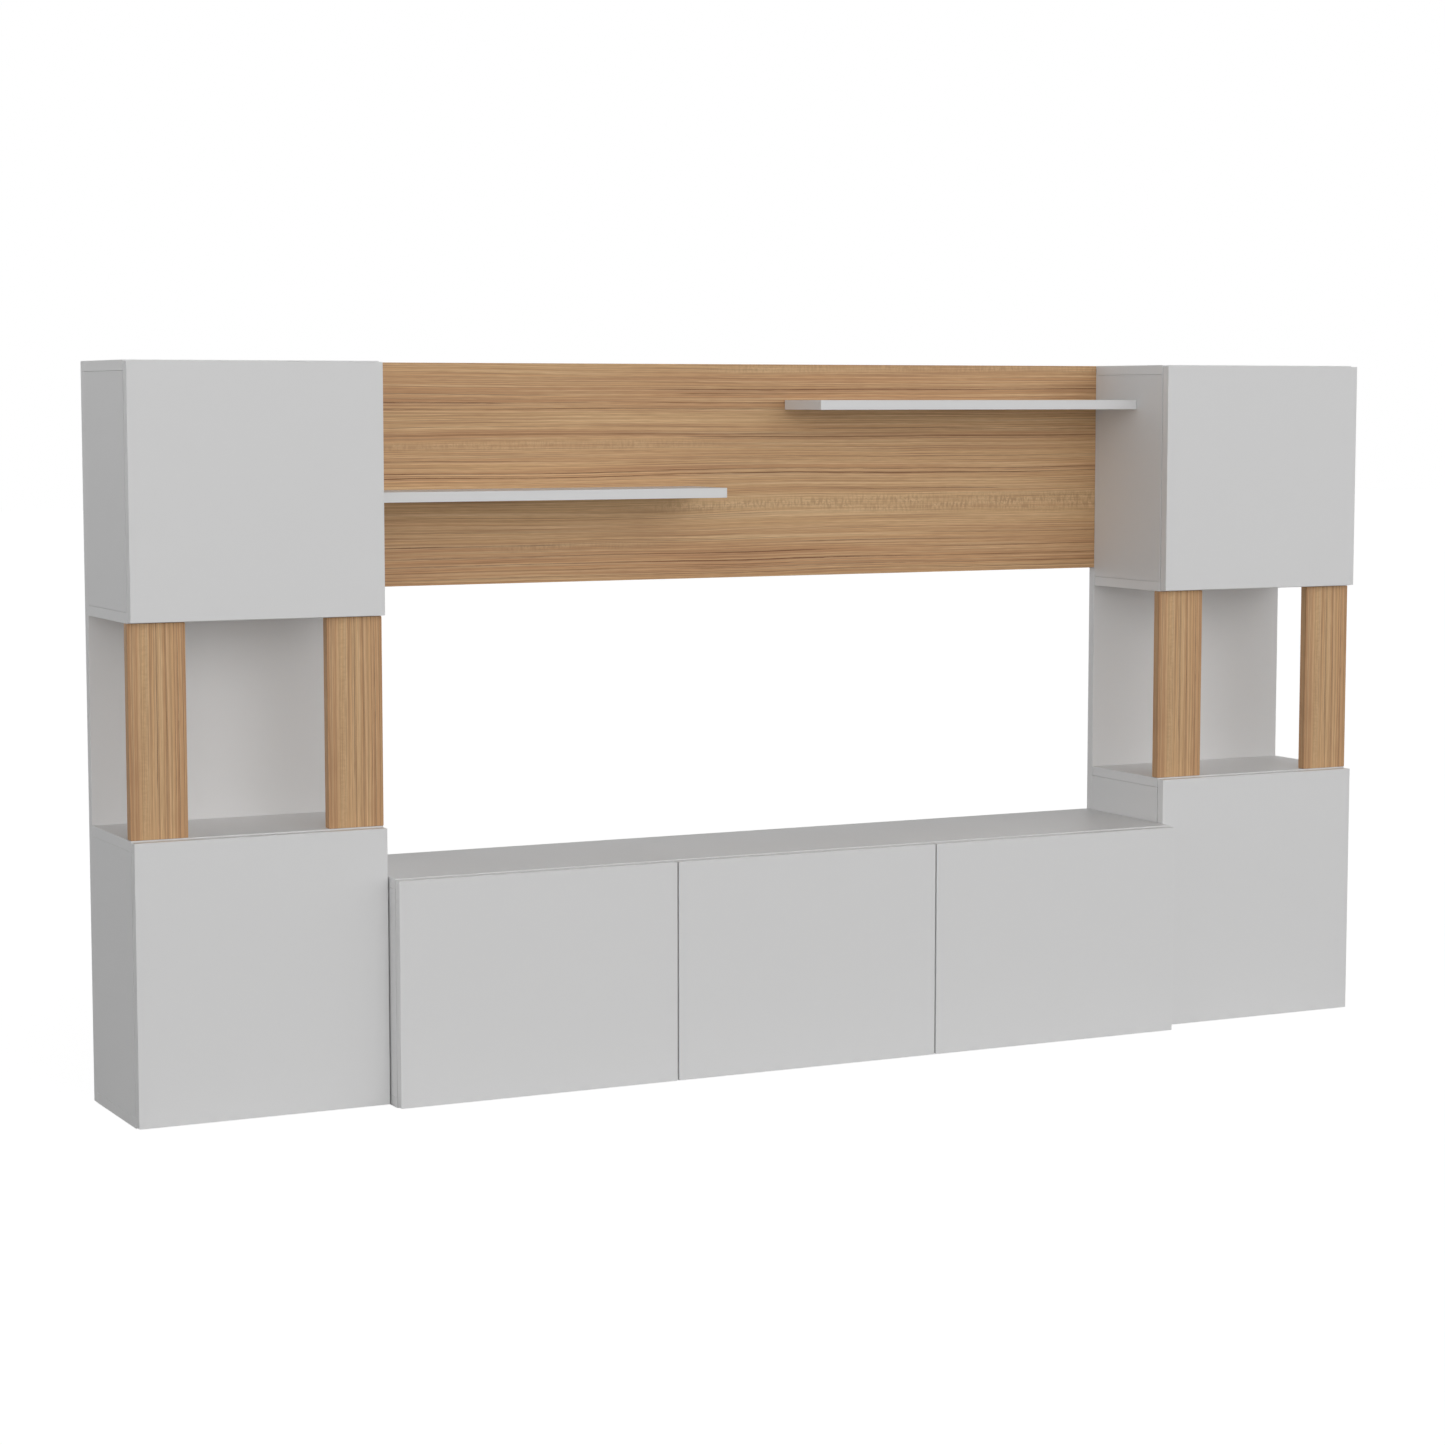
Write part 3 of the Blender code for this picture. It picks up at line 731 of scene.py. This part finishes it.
for prefix in DOORS:
    low, high = door_leaf(prefix)
    # The latch stands on the face away from the hinges, with its tip against the door's back
    way = -DOORS[prefix]
    at = (latch_face[prefix] + way * LATCH_AXIS, high.y + LATCH_TIP, (low.z + high.z) / 2)
    mesh = fitting_mesh(f"{prefix}_latch_housing", latch_housing(), at, way)
    add_piece(f"{prefix}_latch_housing", mesh, "carcass", (grey_abs, screw_steel))
    mesh = fitting_mesh(f"{prefix}_plunger_stem", latch_plunger(), at, way)
    add_piece(f"{prefix}_plunger_stem", mesh, f"{prefix}_plunger",
              (grey_abs, dark_magnet), [f"{prefix}_latch_plunger"])
    mesh = fitting_mesh(f"{prefix}_strike_disc", strike_disc(), (at[0], high.y, at[2]), way)
    add_piece(f"{prefix}_strike_disc", mesh, f"{prefix}_door", (nickel,))


# Cam caps
# Zinc cams in the tops and bottoms draw the boards together. Inside each cabinet a moulded
# plastic cap is pressed over each cam, 34 mm in from the side board.
CAP_RADIUS = 0.0085
CAP_LIFT = 0.0007
CAP_IN = 0.034
CAP_FRONT = 0.055
CAP_BACK = 0.050


def cam_cap(at, up):
    """A cap on a board's face: a low dome with an eased rim on a plug; up is 1 or -1."""
    rim, plug, seat = CAP_RADIUS, CAP_RADIUS - 0.001, 0.00003
    profile = [(0, -0.0008), (plug, -0.0008), (plug, seat), (rim - 0.0001, seat), (rim, 0.0001),
               (rim, 0.0003), (rim - 0.0004, 0.0005), (rim * 0.6, CAP_LIFT), (0, CAP_LIFT)]
    spots, faces = turned(profile, steps=28)
    return spots * (1, up, up) + np.array(at), faces


pale_cap = plastic_finish("pale_moulded_cap", "#D2D2CF", 0.40)
for group in ("left_lower", "left_upper", "right_lower", "right_upper", "console"):
    low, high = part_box(f"{group}_bottom")
    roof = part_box(f"{group}_top")[0].z
    walls = [low.x + BOARD, high.x - BOARD]
    if group == "console":
        # Its two dividers part it into three
        walls[1:1] = [slit + side for slit in (left_slit, right_slit)
                      for side in (-BOARD / 2, BOARD / 2)]
    shells = []
    for first, last in zip(walls[::2], walls[1::2]):
        for x in (first + CAP_IN, last - CAP_IN):
            for y in (low.y + CAP_FRONT, high.y - CAP_BACK):
                shells.append((0, cam_cap((x, y, high.z), 1)))
                shells.append((0, cam_cap((x, y, roof), -1)))
    add_piece(f"{group}_cam_caps", fitting_mesh(f"{group}_caps", shells, (0, 0, 0)), "carcass",
              (pale_cap,))


# Console back
# 3 mm hardboard, lacquered white on the inside and raw on the outside, held to the boards' back
# edges with round-headed nails.
NAIL_RADIUS = 0.0024
NAIL_PITCH = 0.125
NAIL_IN = 0.009
NAIL_SEAT = 0.0003


def hardboard_finish(name):
    """Raw hardboard: brown fibres pressed into 2 mm flakes, clouded over 70 mm, quite matt."""
    material, tree, shader, place = new_finish(name)
    cloud = add_node(tree, "TexNoise", {"Vector": place, "Scale": 14.0, "Detail": 4.0})
    fibres = add_node(tree, "TexNoise", {"Vector": place, "Scale": 420.0, "Detail": 4.0,
                                         "Roughness": 0.65})
    colour = add_node(tree, "Mix", {"Factor": cloud, "A": linear("#987352"),
                                    "B": linear("#AE8964")}, data_type="RGBA")
    amount = add_node(tree, "MapRange", (fibres, 0.4, 0.65, 0.0, 0.5))
    colour = add_node(tree, "Mix", {"Factor": amount, "A": colour, "B": linear("#79583D")},
                      data_type="RGBA")
    bump = add_node(tree, "Bump", {"Height": fibres, "Strength": 0.4, "Distance": 0.0002})
    tree.links.new(colour.outputs["Result"], shader.inputs["Base Color"])
    tree.links.new(bump.outputs["Normal"], shader.inputs["Normal"])
    shader.inputs["Roughness"].default_value = 0.78
    return material


raw_hardboard = hardboard_finish("raw_hardboard")
low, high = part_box("console_back_panel")
thickness = high.y - low.y
corners = [(low.z, low.x), (high.z, low.x), (high.z, high.x), (low.z, high.x)]
# The lacquer is drawn as a sixth of the sheet, so that its edge shows
lacquer = low.y + thickness / 6
inside = pressed(corners, low.y, lacquer, 0.0001, 2)
outside = pressed(corners, lacquer, high.y, 0.0003, 2)
mesh = fitting_mesh("console_back", [(0, inside), (1, outside)], (0, 0, 0))
add_piece("console_back_sheet", mesh, "carcass", (white_melamine, raw_hardboard),
          ["console_back_panel"])

count = round((high.x - low.x - 2 * NAIL_IN) / NAIL_PITCH)
spots = [(x, z) for x in np.linspace(low.x + NAIL_IN, high.x - NAIL_IN, count + 1)
         for z in (low.z + NAIL_IN, high.z - NAIL_IN)]
count = round((high.z - low.z - 2 * NAIL_IN) / NAIL_PITCH)
spots += [(x, z) for z in np.linspace(low.z + NAIL_IN, high.z - NAIL_IN, count + 1)[1:-1]
          for x in (low.x + NAIL_IN, left_slit, right_slit, high.x - NAIL_IN)]
nail = [(0, -0.0004), (NAIL_RADIUS, -0.0004), (NAIL_RADIUS, 0.0001), (NAIL_RADIUS * 0.7, 0.0004),
        (NAIL_RADIUS * 0.35, 0.0005), (0, 0.0005)]
shells = [(0, turned(nail, 2, (x, 0, z), 16)) for x, z in spots]
mesh = fitting_mesh("console_nails", shells, (0, high.y - NAIL_SEAT, 0))
add_piece("console_back_nails", mesh, "carcass", (screw_steel,))


# Wood panel and posts
# The same boards in an oak decor: printed paper under melamine, quarter-cut, with long dark
# lines, broad tonal bands and fields of ray flecks. The grain runs along each board.
def oak_finish(name, grain, across, corner, width, tones, lines, fields):
    """Oak decor whose grain runs along one axis of a board, starting from its corner.

    Shares are measured across the board's width from its corner, and runs along it in
    metres. tones are (share, sandiness) pairs from warm brown to sand. lines are groups of
    dark latewood lines: a run's start and end, and for each line its share, its half
    thickness in millimetres and its darkness. Those of 8 mm and more are faint tints, and
    on the panel one of them is painted shade. fields are patches of ray flecks: lowest and
    highest share, start, end, and strength.
    """
    material, tree, shader, place = new_finish(name)
    start = add_node(tree, "VectorMath", (place, corner), operation="SUBTRACT")
    parts = add_node(tree, "SeparateXYZ", (start,)).outputs
    along = parts[grain]

    def stretched(pitch_along, pitch_across, detail, seed):
        """Noise whose grains are this long and this wide, in metres, on the side so far."""
        where = add_node(tree, "CombineXYZ", (
            add_node(tree, "Math", (along, 1 / pitch_along), operation="MULTIPLY"),
            add_node(tree, "Math", (side, 1 / pitch_across), operation="MULTIPLY"), seed))
        return add_node(tree, "TexNoise", {"Vector": where, "Scale": 1.0, "Detail": detail,
                                           "Roughness": 0.55})

    def window(value, low, high, soft):
        """1 between two values, falling to 0 over a soft distance at each end."""
        rise = add_node(tree, "MapRange", (value, low, low + soft, 0.0, 1.0))
        fall = add_node(tree, "MapRange", (value, high - soft, high, 1.0, 0.0))
        return add_node(tree, "Math", (rise, fall), operation="MULTIPLY")

    # The board's edge faces carry the pattern on, and all of it wavers by a few millimetres
    side = add_node(tree, "Math", (parts[across], parts["Y"]), operation="ADD")
    side = add_node(tree, "Math", (stretched(0.60, 0.16, 1.0, 3.1), 0.014, side),
                    operation="MULTIPLY_ADD")
    side = add_node(tree, "Math", (side, 0.007), operation="SUBTRACT")
    side = add_node(tree, "Math", (stretched(0.11, 0.05, 1.0, 5.7), 0.0016, side),
                    operation="MULTIPLY_ADD")
    share = add_node(tree, "Math", (side, 1 / width), operation="MULTIPLY")

    tone = add_node(tree, "ValToRGB", (share,))
    while len(tone.color_ramp.elements) < len(tones):
        tone.color_ramp.elements.new(0.5)
    for stop, (spot, sand) in zip(tone.color_ramp.elements, tones):
        stop.position = spot
        stop.color = (sand, sand, sand, 1)
    drift = add_node(tree, "MapRange", (stretched(1.4, 0.020, 2.0, 11.0), 0.3, 0.7, -0.35, 0.35))
    bands = add_node(tree, "Math", (tone, drift), operation="ADD")

    # Fine lines of four pitches, 4.2 mm down to 1.3 mm: real fibres are too fine to show
    fibres = stretched(0.045, 0.0013, 2.0, 41.0)
    fine = []
    for noise, low, high, most, tint in (
            (stretched(0.90, 0.0042, 2.0, 23.0), 0.38, 0.62, 0.46, "#B68762"),
            (stretched(0.60, 0.0026, 2.0, 37.0), 0.46, 0.66, 0.50, "#F0D3A7"),
            (stretched(0.45, 0.0017, 2.0, 43.0), 0.50, 0.68, 0.66, "#9A6E4E"),
            (fibres, 0.38, 0.62, 0.26, "#986A48")):
        fine.append((add_node(tree, "MapRange", (noise, low, high, 0.0, most)), tint))

    # The edge of each dark line is frayed by the fibres, and its darkness comes and goes
    frayed = add_node(tree, "Math", (fibres, 0.0016, side), operation="MULTIPLY_ADD")
    ends = add_node(tree, "Math", (stretched(0.20, 0.0070, 1.0, 59.0), 0.36, along),
                    operation="MULTIPLY_ADD")
    dark = 0.0
    for first, last, group in lines:
        drawn = 0.0
        for spot, half, darkness in group:
            inside = add_node(tree, "Math", (frayed, spot * width + 0.0008, half / 1000),
                              operation="COMPARE")
            drawn = add_node(tree, "Math", (inside, darkness, drawn), operation="MULTIPLY_ADD")
        run = window(ends, first + 0.12, last + 0.24, 0.10)
        dark = add_node(tree, "Math", (drawn, run, dark), operation="MULTIPLY_ADD")
    pulse = add_node(tree, "MapRange", (stretched(0.22, 0.0100, 1.0, 61.0), 0.35, 0.55, 0.60, 1.1))
    dark = add_node(tree, "Math", (dark, pulse), operation="MULTIPLY")

    # Ray flecks: short ripples across the grain, darker and paler than the ground
    ripples = stretched(0.0046, 0.0150, 0.0, 71.0)
    ripples = add_node(tree, "MapRange", (ripples, 0.44, 0.62, 0.0, 0.60))
    grains = stretched(0.0050, 0.0030, 1.0, 73.0)
    grains = add_node(tree, "MapRange", (grains, 0.50, 0.66, 0.0, 0.55))
    ripples = add_node(tree, "Math", (ripples, grains), operation="MAXIMUM")
    patch = 0.0
    for lowest, highest, first, last, strength in fields:
        wide = window(share, lowest, highest, (highest - lowest) * 0.4)
        long = window(along, first, last, 0.15)
        here = add_node(tree, "Math", (wide, long), operation="MULTIPLY")
        patch = add_node(tree, "Math", (here, strength, patch), operation="MULTIPLY_ADD")
    clumps = add_node(tree, "MapRange", (stretched(0.11, 0.0160, 1.0, 83.0), 0.38, 0.58, 0.45, 1.0))
    patch = add_node(tree, "Math", (patch, clumps), operation="MULTIPLY")
    paler = add_node(tree, "Math", (patch, 0.45), operation="MULTIPLY")
    darker = add_node(tree, "Math", (patch, ripples), operation="MULTIPLY")

    # The tints lie over the warm brown ground in this order
    colour = linear("#D1A376")
    for amount, tint in ((bands, "#E5C08F"), *fine, (dark, "#70472F"), (paler, "#EACDA0"),
                         (darker, "#9B704C")):
        colour = add_node(tree, "Mix", {"Factor": amount, "A": colour, "B": linear(tint)},
                          data_type="RGBA")
    sheen = add_node(tree, "MapRange", (fibres, 0.35, 0.65, 0.44, 0.52))
    bump = add_node(tree, "Bump", {"Height": fibres, "Strength": 0.25, "Distance": 0.0002})
    shader.inputs["Specular IOR Level"].default_value = FILM_SHINE
    tree.links.new(colour.outputs["Result"], shader.inputs["Base Color"])
    tree.links.new(sheen.outputs["Result"], shader.inputs["Roughness"])
    tree.links.new(bump.outputs["Normal"], shader.inputs["Normal"])
    return material


# The lying panel: shares go up from its foot
PANEL_TONES = ((0.00, 0.15), (0.08, 0.10), (0.14, 0.20), (0.20, 0.45), (0.26, 0.70), (0.34, 0.90),
               (0.40, 0.65), (0.45, 0.75), (0.50, 0.30), (0.54, 0.60), (0.58, 0.65), (0.63, 0.45),
               (0.67, 0.25), (0.71, 0.75), (0.76, 0.85), (0.80, 0.40), (0.85, 0.20), (0.92, 0.20),
               (1.00, 0.35))
PANEL_LINES_AND_SHADE = (
    (-0.40, 0.40, ((0.861, 0.6, 0.55), (0.841, 0.5, 0.55), (0.823, 0.7, 0.85), (0.711, 0.6, 0.40),
                   (0.558, 0.6, 0.55), (0.172, 0.7, 0.80), (0.233, 0.6, 0.35))),
    (-0.40, 0.95, ((0.794, 0.9, 0.60), (0.675, 1.6, 0.35), (0.119, 0.7, 0.60), (0.083, 0.7, 0.45),
                   (0.056, 0.6, 0.45))),
    (-0.40, 0.66, ((0.483, 0.7, 0.80), (0.502, 0.7, 0.75), (0.190, 24.0, 0.07))),
    # The wide tint at share 0.885 on the right part is painted shade: it darkens the panel just
    # above the upper shelf
    (0.72, 1.90, ((0.885, 10.0, 0.13), (0.668, 8.0, 0.10))),
    (0.66, 1.90, ((0.887, 0.7, 0.70), (0.508, 0.7, 0.65), (0.489, 0.8, 0.80), (0.565, 0.6, 0.45),
                  (0.660, 1.2, 0.45), (0.083, 0.7, 0.70), (0.049, 0.6, 0.55))),
    (0.68, 1.05, ((0.823, 0.7, 0.75), (0.867, 0.6, 0.50), (0.121, 0.7, 0.65), (0.064, 0.6, 0.70))),
    (0.95, 1.32, ((0.412, 0.7, 0.65), (0.163, 0.8, 0.50), (0.700, 0.8, 0.50))),
    (1.25, 1.90, ((0.194, 0.7, 0.50), (0.128, 0.8, 0.50), (0.370, 0.6, 0.50), (0.692, 0.8, 0.45))),
    (-0.40, 1.90, ((0.025, 0.7, 0.45), (0.765, 0.5, 0.25), (0.610, 0.5, 0.25), (0.300, 0.5, 0.20))),
)
PANEL_FIELDS = ((0.28, 0.40, 0.93, 1.80, 0.85), (0.30, 0.385, 0.55, 1.08, 0.65),
                (0.600, 0.655, -0.20, 0.80, 0.50), (0.14, 0.19, 0.20, 0.70, 0.45),
                (0.960, 1.02, 0.65, 1.75, 0.50))
low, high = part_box("wood_panel")
panel_oak = oak_finish("oak_decor_lying", "X", "Z", tuple(low), high.z - low.z, PANEL_TONES,
                       PANEL_LINES_AND_SHADE, PANEL_FIELDS)
add_piece("wood_panel_board", board_mesh("wood_panel", low, high), "carcass",
          (panel_oak, panel_oak), ["wood_panel"])

# The standing posts: shares go right from their left edge
POST_TONES = ((0.00, 0.00), (0.12, 0.00), (0.15, 0.10), (0.19, 0.45), (0.25, 0.78), (0.31, 0.80),
              (0.36, 0.62), (0.43, 0.85), (0.50, 0.50), (0.55, 0.95), (0.61, 1.00), (0.65, 0.30),
              (0.69, 0.05), (0.74, 0.65), (0.79, 0.30), (0.86, 0.10), (0.91, 0.00), (0.95, 0.12),
              (1.00, 0.20))
POST_LINES = (
    (-0.40, 0.80, ((0.065, 8.0, 0.11), (0.07, 0.4, 0.25), (0.24, 0.3, 0.30), (0.648, 0.5, 0.45),
                   (0.87, 0.5, 0.55), (0.95, 0.4, 0.45))),
    (0.06, 0.80, ((0.495, 0.6, 0.80), (0.81, 0.4, 0.50), (0.33, 0.3, 0.35))),
    (-0.40, 0.33, ((0.665, 0.6, 0.70), (0.52, 0.4, 0.50))),
)
POST_FIELDS = ((0.16, 0.40, -0.20, 0.60, 0.25),)
for hand in ("left", "right"):
    for place in ("left", "right"):
        node = f"{hand}_niche_{place}_post"
        low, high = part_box(node)
        post_oak = oak_finish(f"oak_decor_{hand}_{place}_post", "Z", "X", tuple(low),
                              high.x - low.x, POST_TONES, POST_LINES, POST_FIELDS)
        add_piece(f"{node}_board", board_mesh(node, low, high), "carcass",
                  (post_oak, post_oak), [node])


# Studio
# A pale floor that turns white for the camera but keeps the soft shadow, a dome, and three wide
# lamps from the front, the right and the left.
FLOOR_REACH = 30.0
FLOOR_DROP = 0.0005
mesh = bpy.data.meshes.new("studio_floor")
corners = [(x, y, -FLOOR_DROP) for x, y in rectangle(FLOOR_REACH, FLOOR_REACH).tolist()]
mesh.from_pydata(corners, [], [(0, 1, 2, 3)])
floor = bpy.data.objects.new("studio_floor", mesh)
bpy.context.collection.objects.link(floor)
floor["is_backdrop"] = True
floor_finish = bpy.data.materials.new("pale_floor")
floor_finish.use_nodes = True
tree = floor_finish.node_tree
tree.nodes.remove(tree.nodes["Principled BSDF"])
pale = add_node(tree, "BsdfDiffuse", {"Color": linear("#D9D9D9")})
faint = add_node(tree, "BsdfDiffuse", {"Color": linear("#8C8C8C")})
glow = add_node(tree, "Emission", {"Color": linear("#FFFFFF"), "Strength": 0.92})
seen = add_node(tree, "AddShader", (faint, glow))
ray = add_node(tree, "LightPath")
split = add_node(tree, "MixShader", (ray.outputs["Is Camera Ray"], pale, seen))
tree.links.new(split.outputs[0], tree.nodes["Material Output"].inputs["Surface"])
mesh.materials.append(floor_finish)

# The dome is brightest at the horizon, like the white walls of a studio, and dark overhead
DOME_STRENGTH = 1.04
DOME_REACH = 0.8
world = bpy.data.worlds.new("studio")
world.use_nodes = True
bpy.context.scene.world = world
tree = world.node_tree
dome = tree.nodes["Background"]
dome.inputs["Color"].default_value = linear("#FFFFFF")
way = add_node(tree, "TexCoord").outputs["Generated"]
tall = add_node(tree, "SeparateXYZ", {"Vector": way}).outputs["Z"]
fall = add_node(tree, "MapRange", (tall, 0.0, DOME_REACH, DOME_STRENGTH, 0.0))
tree.links.new(fall.outputs["Result"], dome.inputs["Strength"])
white = add_node(tree, "Background", {"Color": linear("#FFFFFF"), "Strength": 1.0})
ray = add_node(tree, "LightPath")
either = add_node(tree, "Math", (ray.outputs["Is Camera Ray"], ray.outputs["Is Glossy Ray"]),
                  operation="MAXIMUM")
either = add_node(tree, "Math", (either, ray.outputs["Is Transmission Ray"]),
                  operation="MAXIMUM")
split = add_node(tree, "MixShader", (either, dome, white))
tree.links.new(split.outputs[0], tree.nodes["World Output"].inputs["Surface"])

# Each lamp: its azimuth round from the front, its elevation, its strength and its spread
LAMPS = {
    "front_lamp": (0, 2, 0.85, 60),
    "right_lamp": (50, 15, 0.73, 100),
    "left_lamp": (-50, 15, 0.36, 100),
}
for name, (azimuth, elevation, strength, spread) in LAMPS.items():
    data = bpy.data.lights.new(name, "SUN")
    data.energy = strength
    data.angle = math.radians(spread)
    lamp = bpy.data.objects.new(name, data)
    lamp.rotation_euler = (math.radians(90 - elevation), 0, math.radians(azimuth))
    bpy.context.collection.objects.link(lamp)

# The camera stands where the photo was taken from, turned down and right by these degrees
LOOK_DOWN = 5.621
LOOK_RIGHT = 26.682
data = bpy.data.cameras.new("camera")
data.lens = 82.14
data.sensor_width = 36.0
camera = bpy.data.objects.new("camera", data)
camera.location = (-2.8204, -5.414, 1.2249)
camera.rotation_euler = (math.radians(90 - LOOK_DOWN), 0, math.radians(-LOOK_RIGHT))
bpy.context.collection.objects.link(camera)
bpy.context.scene.camera = camera
bpy.context.scene.view_settings.view_transform = "Standard"

low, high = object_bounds()
